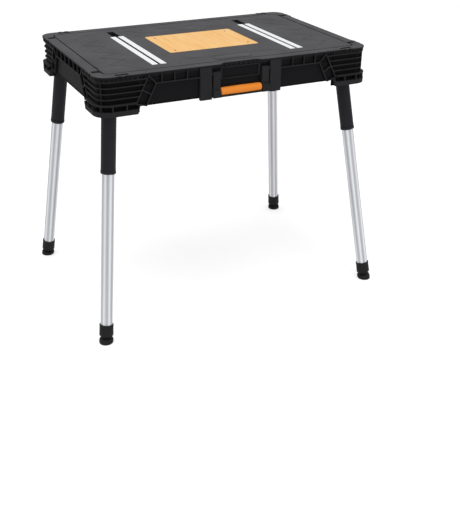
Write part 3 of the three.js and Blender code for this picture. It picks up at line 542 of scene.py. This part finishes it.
# Each block has an upright at its corner, across the louvres and, further out, across the cells. Two
# short ribs stand past each of its ends, and a bead runs along the foot of the walls between the blocks.
groove_floor = 9.3 * mm
wall_recess = 11.8 * mm
upright_width = 2.6 * mm
upright_depth = 6.4 * mm
upright_sunk = 0.3 * mm
upright_low = deck_top - 77 * mm
cell_low = deck_top - 95 * mm
cell_height = 16 * mm
cell_depth = 5.8 * mm
flare = 8 * mm
rib_places = np.array([6, 17]) * mm
short_rib_height = 8.4 * mm
bead_level = deck_top - 90.3 * mm
bead_recess = 11.7 * mm
bead_width = 3 * mm
bead_height = 1.8 * mm
bead_room = 20 * mm
panel_half = 129 * mm
uprights = []
short_ribs = []
beads = []
for sx, sy in signs:
    normal = np.array([sx, sy, 0]) / math.sqrt(2)
    upright_foot = np.array([sx * (half_length - deck_corner), sy * (half_depth - deck_corner), upright_low])
    upright_foot += normal * (deck_corner - groove_floor - upright_sunk)
    upright_head = upright_foot + up * (louvre_top - upright_low)
    uprights.append(bars(upright_foot, upright_head, normal, upright_width, upright_depth, 0.08))
    cell_foot = upright_foot + up * (cell_low - upright_low)
    cell_head = cell_foot + up * cell_height
    uprights.append(bars(cell_foot, cell_head, normal, upright_width, cell_depth + flare, 0.04))
    wall_x = sx * (half_length - wall_recess)
    wall_y = sy * (half_depth - wall_recess)
    for past_block in rib_places:
        rib_x, rib_y = (block_start - past_block) * (sx, sy)
        long_rib = np.array([rib_x, wall_y, louvre_top])
        end_rib = np.array([wall_x, rib_y, louvre_top])
        short_ribs.append(bars(long_rib, long_rib + rib_rise, (0, sy, 0), rib_width, short_rib_height, 0.05))
        short_ribs.append(bars(end_rib, end_rib + rib_rise, (sx, 0, 0), rib_width, short_rib_height, 0.05))
    long_inner = panel_half if sy < 0 else 0
    long_outer, end_outer = block_start - bead_room
    long_y = sy * (half_depth - bead_recess)
    end_x = sx * (half_length - bead_recess)
    for bead_start, bead_end, bead_out in (
        ((sx * long_inner, long_y, bead_level), (sx * long_outer, long_y, bead_level), (0, sy, 0)),
        ((end_x, 0, bead_level), (end_x, sy * end_outer, bead_level), (sx, 0, 0)),
    ):
        beads.append(bars(bead_start, bead_end, bead_out, bead_width, bead_height))
make("corner_uprights", uprights, black_polypropylene, "bench_top")
make("short_ribs", short_ribs, black_polypropylene, "bench_top")
make("wall_beads", beads, black_polypropylene, "bench_top")

# The bay behind the handle: a comb of teeth in the deck's notch, two jambs, a ledge above and below them,
# and a near-black strip of painted shade that hangs from the panel's back, just under its lower edge.
panel_face = -half_depth + 14.7 * mm
notch_face = -half_depth + 14.2 * mm
to_front = np.array([0, -1.0, 0])
other_side = np.array([-1, 1, 1])
tooth_places = np.linspace(-45, 45, 7) * mm
tooth_drop = 12 * mm
tooth_length = 10 * mm
jamb_places = np.array([-60, 60]) * mm
jamb_drop = 46 * mm
jamb_length = 32 * mm
ledge_half = 61 * mm
ledge_drops = np.array([13.6, 45]) * mm
shade_strip_half = 90 * mm
shade_strip_drop = 72 * mm
shade_strip_behind = 4.3 * mm
tooth_low = np.array([[x, notch_face, deck_top - tooth_drop] for x in tooth_places])
teeth = bars(tooth_low, tooth_low + up * tooth_length, to_front, 2.2 * mm, 4.0 * mm, 0.05)
jamb_low = np.array([[x, panel_face, deck_top - jamb_drop] for x in jamb_places])
jambs = bars(jamb_low, jamb_low + up * jamb_length, to_front, 5.0 * mm, 4.2 * mm, 0.1)
ledge_right = np.array([[ledge_half, panel_face, deck_top - drop] for drop in ledge_drops])
ledges = bars(ledge_right * other_side, ledge_right, to_front, 2.6 * mm, 4.4 * mm, 0.1)
ledge_polypropylene = moulded_plastic("ledge_polypropylene", "#252527", "#2f2f31", 1.2, 0.6, sheen=0.08)
make("bay_comb", [teeth, jambs, ledges], ledge_polypropylene, "bench_top")
# The strip under the panel is painted shade, near black.
shade_strip_right = np.array([shade_strip_half, panel_face + shade_strip_behind, deck_top - shade_strip_drop])
shade_strip = bars(shade_strip_right * other_side, shade_strip_right, -to_front, 8 * mm, 1.3 * mm, 0)
make("panel_shade_strip", [shade_strip], shadowed_polypropylene, "bench_top")


# Clamp tracks
# Two aluminium extrusions let into the deck, clear anodised and bright on their faces. The channel
# inside is painted near black as shade, so the gap between the lips reads as a black line.

def anodised_extrusion():
    """Clear anodised aluminium: nearly white metal with hair lines from the die, all along the track,
    and below the lips a dark, dull inside that is painted shade."""
    material = bpy.data.materials.new("anodised_aluminium")
    tree = empty_tree(material)
    place = add(tree, "TexCoord").outputs["Object"]
    line_scale = (1 / (0.8 * mm), 1 / (120 * mm), 1 / (0.8 * mm))
    line_place = add(tree, "Mapping", {"Vector": place, "Scale": line_scale}).outputs[0]
    lines = add(tree, "TexNoise", {"Vector": line_place, "Scale": 1.0, "Detail": 2.0}).outputs["Fac"]
    height = add(tree, "SeparateXYZ", {0: place}).outputs["Z"]
    face = add(tree, "MapRange", {
        "Value": height, "From Min": deck_top - 3.0 * mm, "From Max": deck_top - 1.5 * mm,
    })
    bright = add(tree, "Mix", {
        "Factor": lines, "A": linear("#ebecee"), "B": linear("#f5f6f6"),
    }, data_type="RGBA")
    # Painted shade: below the lips the channel's inside is near black.
    tint = add(tree, "Mix", {
        "Factor": face.outputs[0], "A": linear("#141415"), "B": bright.outputs["Result"],
    }, data_type="RGBA")
    dull = add(tree, "MapRange", {"Value": lines, "To Min": 0.28, "To Max": 0.46})
    bump = add(tree, "Bump", {"Height": lines, "Strength": 0.15, "Distance": 0.05 * mm})
    shader = add(tree, "BsdfPrincipled", {
        "Base Color": tint.outputs["Result"], "Metallic": 0.85, "Roughness": dull.outputs[0],
        "Normal": bump.outputs[0],
    })
    add(tree, "OutputMaterial", {"Surface": shader.outputs[0]})
    return material


anodised_aluminium = anodised_extrusion()
for side in ("left", "right"):
    dress(f"clamp_track_{side}", anodised_aluminium, 0.5)


# Work board
# A birch plywood panel let in flush with the deck, sanded and left pale, its grain running front to
# back. Four blackened screws hold it down in counterbores.

def birch_plywood():
    """Sanded birch ply: warm tan with straight fine grain lines about a millimetre apart, and slow bands
    of early and late wood."""
    material = bpy.data.materials.new("birch_plywood")
    tree = empty_tree(material)
    place = add(tree, "TexCoord").outputs["Object"]
    fine_scale = (1 / (1.3 * mm), 1 / (70 * mm), 1 / (3 * mm))
    fine_place = add(tree, "Mapping", {"Vector": place, "Scale": fine_scale}).outputs[0]
    fine = add(tree, "TexNoise", {"Vector": fine_place, "Scale": 1.0, "Detail": 3.0}).outputs["Fac"]
    band_scale = (1 / (16 * mm), 1 / (240 * mm), 1 / (9 * mm))
    band_place = add(tree, "Mapping", {"Vector": place, "Scale": band_scale}).outputs[0]
    band = add(tree, "TexNoise", {
        "Vector": band_place, "Scale": 1.0, "Detail": 2.0, "Distortion": 0.6,
    }).outputs["Fac"]
    both = add(tree, "Math", {0: fine, 1: band}, operation="ADD").outputs[0]
    spread = add(tree, "MapRange", {"Value": both, "From Min": 0.62, "From Max": 1.38}).outputs[0]
    ramp = add(tree, "ValToRGB", {"Fac": spread})
    ramp.color_ramp.elements[0].color = linear("#f7b767")
    ramp.color_ramp.elements[1].color = linear("#ffd799")
    middle = ramp.color_ramp.elements.new(0.5)
    middle.color = linear("#ffc97f")
    bump = add(tree, "Bump", {"Height": fine, "Strength": 0.25, "Distance": 0.1 * mm})
    shader = add(tree, "BsdfPrincipled", {
        "Base Color": ramp.outputs["Color"], "Roughness": 0.62, "Normal": bump.outputs[0], "IOR": 1.5,
        "Specular IOR Level": 0.3,
    })
    add(tree, "OutputMaterial", {"Surface": shader.outputs[0]})
    return material


dress("work_board", birch_plywood(), 0.6)


# Screws
# Pan-head screws with a cross recess, blackened on the board and zinc plated underneath. Each is turned
# about its own upright axis, and its recess is pressed into the head.

def plated_steel(name, shade, light_shade, roughness):
    """Plated steel: a thin bright coat whose tone and gloss drift a little."""
    material = bpy.data.materials.new(name)
    tree = empty_tree(material)
    place = add(tree, "TexCoord").outputs["Object"]
    drift = add(tree, "TexNoise", {"Vector": place, "Scale": 1 / (4 * mm), "Detail": 3.0}).outputs["Fac"]
    tint = add(tree, "Mix", {
        "Factor": drift, "A": linear(shade), "B": linear(light_shade),
    }, data_type="RGBA")
    dull = add(tree, "MapRange", {"Value": drift, "To Min": roughness - 0.1, "To Max": roughness + 0.1})
    bump = add(tree, "Bump", {"Height": drift, "Strength": 0.1, "Distance": 0.05 * mm})
    shader = add(tree, "BsdfPrincipled", {
        "Base Color": tint.outputs["Result"], "Metallic": 1.0, "Roughness": dull.outputs[0],
        "Normal": bump.outputs[0],
    })
    add(tree, "OutputMaterial", {"Surface": shader.outputs[0]})
    return material


def lathe(distance, radius, origin, axis, first, columns):
    """A turned surface: rings of a radius at a distance along an axis from its origin. Distance and radius
    may change round the ring. Returns the grid, and each point in the axis's own frame."""
    third = np.asarray(axis, float) / np.linalg.norm(axis)
    first = np.asarray(first, float) - third * (third @ np.asarray(first, float))
    first /= np.linalg.norm(first)
    second = np.cross(third, first)
    turn = np.linspace(0, 2 * math.pi, columns, endpoint=False)
    distance, radius = np.broadcast_arrays(*(np.asarray(v, float) for v in (distance, radius)))
    if distance.ndim == 1:
        distance, radius = (np.repeat(v[:, None], columns, axis=1) for v in (distance, radius))
    local = np.stack([radius * np.cos(turn), radius * np.sin(turn), distance], axis=-1)
    return np.asarray(origin, float) + local @ np.stack([first, second, third]), local


def turned(profile, origin, axis, first, columns):
    """A closed turned shape from a profile, whose rows are a distance along the axis and a radius, both
    in millimetres."""
    rings = np.array(profile) * mm
    return skin(lathe(rings[:, 0], rings[:, 1], origin, axis, first, columns)[0])


def cross_screw(node, name, pointing_up, material):
    """A screw on its node's axis: shank, rounded head, and a cross recess where the distance from either
    of two crossed lines is under half the recess's width."""
    columns = 64
    head_radius = 4.2
    head_height = 2.6
    shank_radius = 2.0
    point_radius = 0.4
    dome_drop = 0.35
    recess_half = 0.62
    recess_reach = 2.9
    recess_depth = 1.5
    recess_turn = (1, 0.35, 0)
    point_length = 2.5
    low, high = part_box(node)
    centre = (low + high) / 2
    face = low.z if pointing_up else high.z
    length = (high.z - low.z) / mm
    rings = np.array([0.0, 0.5, 1.0, 1.6, 2.2, 2.8, 3.4, 4.0])[:, None]
    turn = np.linspace(0, 2 * math.pi, columns, endpoint=False)
    off_line = np.minimum(np.abs(np.cos(turn)), np.abs(np.sin(turn))) * rings
    in_cross = (off_line < recess_half) & (rings < recess_reach)
    face_distance = np.where(in_cross, recess_depth, dome_drop * (rings / head_radius) ** 2)
    side = np.array([
        [0.7, head_radius], [1.2, head_radius], [head_height, head_radius], [head_height, shank_radius],
        [length - point_length, shank_radius], [length, point_radius],
    ])
    distance = np.concatenate([face_distance, np.repeat(side[:, :1], columns, axis=1)])
    radius = np.repeat(np.concatenate([rings, side[:, 1:]]), columns, axis=1)
    grid, _ = lathe(
        distance * mm, radius * mm, (centre.x, centre.y, face), (0, 0, 1 if pointing_up else -1),
        recess_turn, columns,
    )
    obj = make(name, [skin(grid)], material, "bench_top")
    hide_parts(node)


blackened_steel = plated_steel("blackened_steel", "#2a2623", "#45403b", 0.4)
zinc_plated_steel = plated_steel("zinc_plated_steel", "#a3a5a8", "#c3c5c9", 0.34)
leg_names = ("front_left", "front_right", "back_right", "back_left")
for i in range(1, 5):
    cross_screw(f"board_screw_{i}", f"board_cross_screw_{i}", False, blackened_steel)
    cross_screw(f"frame_screw_{i}", f"frame_cross_screw_{i}", True, zinc_plated_steel)
for leg in leg_names:
    for i in (1, 2):
        cross_screw(f"{leg}_bracket_screw_{i}", f"{leg}_cross_screw_{i}", True, zinc_plated_steel)


# Carrying handle
# Two black posts on the front wall carry steel pins, a black bail swings on them, and an orange grip is
# moulded round the bail's rod.

pin_radius = 3
pin_chamfer = 0.6
for side in ("left", "right"):
    dress(f"handle_post_{side}", ledge_polypropylene, 0.9)
    low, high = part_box(f"handle_pin_{side}")
    middle = (low + high) / 2
    pin_length = (high.x - low.x) / mm
    pin_profile = [
        [0, pin_radius - pin_chamfer], [pin_chamfer, pin_radius], [pin_length - pin_chamfer, pin_radius],
        [pin_length, pin_radius - pin_chamfer],
    ]
    pin_shape = turned(pin_profile, (low.x, middle.y, middle.z), along_x, up, 24)
    pin = make(f"handle_steel_pin_{side}", [pin_shape], blackened_steel, "bench_top")
    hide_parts(f"handle_pin_{side}")
dress("handle_bail", ledge_polypropylene, 0.7)

bail_low, bail_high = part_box("handle_bail")
bail_y = (bail_low.y + bail_high.y) / 2
bail_foot = bail_low.z - 3.2 * mm
cheek_inner = np.array([65.7 * mm, bail_y, bail_foot])
cheek_outer = np.array([90.4 * mm, bail_y, bail_foot])
cheek_width = 23 * mm
cheek_height = 22 * mm
rail_end = np.array([66 * mm, bail_y - 2 * mm, bail_foot])
rail_width = 15 * mm
rail_height = 4.4 * mm
cheeks = [
    bars(cheek_inner * flip, cheek_outer * flip, up, cheek_width, cheek_height, 0.08)
    for flip in (other_side, 1)
]
under_rail = bars(rail_end * other_side, rail_end, up, rail_width, rail_height, 0.2)
make("bail_cheeks", cheeks + [under_rail], ledge_polypropylene, "handle")

# The grip swells a little in the middle, and its ends are rounded by a quarter circle.
grip_low, grip_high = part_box("handle_grip")
grip_middle = (grip_low + grip_high) / 2
grip_half = grip_high.x
grip_radius = (grip_high.z - grip_low.z) / 2
grip_bore = 6.4 * mm
grip_slender = 0.955
end_round = 4 * mm
orange_polypropylene = moulded_plastic("orange_polypropylene", "#ff9027", "#ff9c3a", 1.4, 0.42, 0.08)
grip_walk = np.linspace(-1, 1, 61)
into_round = np.clip((np.abs(grip_walk) * grip_half - grip_half + end_round) / end_round, 0, 1)
grip_swell = grip_radius * (grip_slender + (1 - grip_slender) * np.cos(grip_walk * math.pi / 2))
grip_profile = grip_swell - end_round * (1 - np.sqrt(1 - into_round ** 2))
grip_rings = np.concatenate([[-grip_half], grip_walk * grip_half, [grip_half]])
grip_radii = np.concatenate([[grip_bore], grip_profile, [grip_bore]])
grip_grid, _ = lathe(grip_rings, grip_radii, (0, grip_middle.y, grip_middle.z), along_x, up, 56)
grip = make("orange_grip", [skin(grip_grid)], orange_polypropylene, "handle")
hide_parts("handle_grip")


# Legs
# Each leg is a black sleeve on a hinge knuckle, a ring at its mouth, a fluted aluminium tube and a rubber
# foot. All but the knuckle are turned about the leg's own axis, from the hinge to the sole.

flute_count = 7
flute_columns = 10
flute_depth = 0.9 * mm
flute_width = 0.2
tube_radius = 18.1 * mm
tube_start = 134.3
tube_in_foot = 30
foot_length = 60
leg_columns = 72
knuckle_columns = 48

# Profiles in millimetres, as a distance along the axis and a radius.
sleeve_profile = [
    [0, 13.5], [22, 13.5], [25, 15.4], [32, 19.9], [35, 20.8], [40, 21], [120, 21], [196, 21],
    [200, 21.2], [203.4, 21.2], [204, 20.6], [204, 17.8], [134, 17.8], [134, 0],
]
knuckle_profile = [[-17, 5.3], [-17, 14.8], [-15.8, 16], [15.8, 16], [17, 14.8], [17, 5.3]]
collar_profile = [
    [204.3, 17.8], [204.3, 20.7], [205, 21.4], [209, 21.9], [212.4, 22.1], [214, 21.2], [214.3, 17.8],
]
cup_profile = [
    [0, 18.3], [0, 20.2], [1.2, 21], [12, 20.6], [34, 21], [35.5, 20.4], [36, 19], [37, 11], [44, 11],
    [45, 15], [45.8, 19],
]
sole_radius = np.array([[21], [21], [20], [17.5], [0]]) * mm
sole_lift = np.array([[10.5], [3.0], [0.9], [0], [0]]) * mm


def drawn_tube():
    """Drawn aluminium tube, satin anodised: fine draw lines along its length, brighter and duller in
    turn, with painted shade in each flute and painted light on the crests between, on a light silver grey."""
    material = bpy.data.materials.new("drawn_aluminium")
    tree = empty_tree(material)
    place = add(tree, "Attribute", attribute_name="place").outputs["Vector"]
    line_scale = (1 / (2.2 * mm), 1 / (2.2 * mm), 1 / (400 * mm))
    line_place = add(tree, "Mapping", {"Vector": place, "Scale": line_scale}).outputs[0]
    lines = add(tree, "TexNoise", {"Vector": line_place, "Scale": 1.0, "Detail": 3.0}).outputs["Fac"]
    parts = add(tree, "SeparateXYZ", {0: place}).outputs
    # Painted light and shade: the colour darkens in each flute and lightens on the crests between.
    turn = add(tree, "Math", {0: parts["Y"], 1: parts["X"]}, operation="ARCTAN2").outputs[0]
    flutes = add(tree, "Math", {0: turn, 1: float(flute_count)}, operation="MULTIPLY").outputs[0]
    crest = add(tree, "Math", {0: flutes}, operation="COSINE").outputs[0]
    crest_light_and_lines = add(tree, "Math", {0: crest, 1: 0.42, 2: lines}, operation="MULTIPLY_ADD").outputs[0]
    tint = add(tree, "Mix", {
        "Factor": crest_light_and_lines, "A": linear("#a8aab0"), "B": linear("#ecedf1"),
    }, data_type="RGBA")
    dull = add(tree, "MapRange", {"Value": lines, "To Min": 0.3, "To Max": 0.48})
    bump = add(tree, "Bump", {"Height": lines, "Strength": 0.2, "Distance": 0.1 * mm})
    shader = add(tree, "BsdfPrincipled", {
        "Base Color": tint.outputs["Result"], "Metallic": 0.55, "Roughness": dull.outputs[0],
        "Normal": bump.outputs[0],
    })
    add(tree, "OutputMaterial", {"Surface": shader.outputs[0]})
    return material


drawn_aluminium = drawn_tube()
sleeve_polypropylene = moulded_plastic("sleeve_polypropylene", "#1f1f22", "#28282b", 1.3, 0.5, sheen=0.12)
black_rubber = moulded_plastic("black_rubber", "#1e1e1e", "#2a2a2a", 0.9, 0.68, sheen=0.14)
joints = {joint["name"]: joint for joint in frame["record"]["behaviour"]["joints"]}
soles = {mount["name"]: mount for mount in frame["record"]["mounts"]}

for leg in leg_names:
    hinge = np.array(joints[f"{leg}_leg_fold"]["pos_m"])
    hinge_axis = np.array(joints[f"{leg}_leg_fold"]["axis"])
    to_sole = np.array(soles[f"{leg}_sole"]["pos_m"]) - hinge
    leg_length = np.linalg.norm(to_sole) / mm
    down = to_sole / np.linalg.norm(to_sole)
    body = f"{leg}_leg"

    sleeve_shapes = [
        turned(sleeve_profile, hinge, down, hinge_axis, leg_columns),
        turned(knuckle_profile, hinge, hinge_axis, down, knuckle_columns),
    ]
    sleeve = make(f"{leg}_sleeve_shell", sleeve_shapes, sleeve_polypropylene, body)
    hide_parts(f"{leg}_leg_sleeve")

    collar_shape = turned(collar_profile, hinge, down, hinge_axis, leg_columns)
    collar = make(f"{leg}_collar_ring", [collar_shape], sleeve_polypropylene, body)
    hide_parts(f"{leg}_locking_collar")

    # The flutes are shallow grooves whose section is a bell curve.
    tube_columns = flute_count * flute_columns
    flute_turn = np.arange(tube_columns) / flute_columns % 1
    groove = np.exp(-((flute_turn - 0.5) / flute_width) ** 2)
    tube_walk = np.linspace(tube_start, leg_length - foot_length + tube_in_foot, 25)[:, None] * mm
    tube_grid, tube_place = lathe(
        tube_walk, tube_radius - flute_depth * groove[None, :], hinge, down, hinge_axis, tube_columns,
    )
    tube_pattern = tube_place.reshape(-1, 3).astype(np.float32)
    tube_shape = skin(tube_grid)
    tube = make(f"{leg}_fluted_tube", [tube_shape], drawn_aluminium, body, tube_pattern)
    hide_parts(f"{leg}_leg_tube")

    # The foot is a cup on the tube, a neck and a pad. The pad's rings stop at the floor: at each turn
    # they lie where the leg's slanting axis brings them down to it, less a lift.
    cup = (np.array(cup_profile) + [leg_length - foot_length, 0]) * mm
    first = hinge_axis - down * (hinge_axis @ down)
    first /= np.linalg.norm(first)
    foot_turn = np.linspace(0, 2 * math.pi, leg_columns, endpoint=False)
    ring_height = np.cos(foot_turn) * first[2] + np.sin(foot_turn) * np.cross(down, first)[2]
    sole_distance = -(hinge[2] + sole_radius * ring_height) / down[2] - sole_lift
    foot_distance = np.concatenate([np.repeat(cup[:, :1], leg_columns, axis=1), sole_distance])
    foot_radius = np.repeat(np.concatenate([cup[:, 1:], sole_radius]), leg_columns, axis=1)
    foot_grid, _ = lathe(foot_distance, foot_radius, hinge, down, hinge_axis, leg_columns)
    foot = make(f"{leg}_rubber_foot", [skin(foot_grid)], black_rubber, body)
    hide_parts(f"{leg}_foot")


# Hinges, latches and clips
# Under the deck each leg turns on a steel pin in a black clevis, an orange plunger locks it, and a black
# saddle takes the folded tube.

pivot_profile = [[-24.5, 4.2], [-23.7, 5], [23.7, 5], [24.5, 4.2]]
plunger_profile = [
    [17.3, 2.6], [18.2, 3.5], [22.1, 3.5], [22.1, 5], [25.1, 5], [25.1, 3.5], [42.6, 3.5], [42.6, 8.2],
    [43.4, 9], [49.6, 9], [50.6, 8], [50.6, 0],
]
plunger_above_hinge = 10.5 * mm
for leg in leg_names:
    hinge = np.array(joints[f"{leg}_leg_fold"]["pos_m"])
    pull_axis = np.array(joints[f"{leg}_latch_pull"]["axis"])
    dress(f"{leg}_hinge_bracket", black_polypropylene, 0.6)
    dress(f"{leg}_leg_clip", black_polypropylene, 0.8)
    pivot_shape = turned(pivot_profile, hinge, pull_axis, up, 32)
    pivot = make(f"{leg}_pivot_pin", [pivot_shape], zinc_plated_steel, "bench_top")
    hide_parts(f"{leg}_hinge_pin")
    knob_shape = turned(plunger_profile, hinge + up * plunger_above_hinge, pull_axis, up, 40)
    knob = make(f"{leg}_pull_knob", [knob_shape], orange_polypropylene, f"{leg}_latch")
    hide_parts(f"{leg}_latch_plunger")
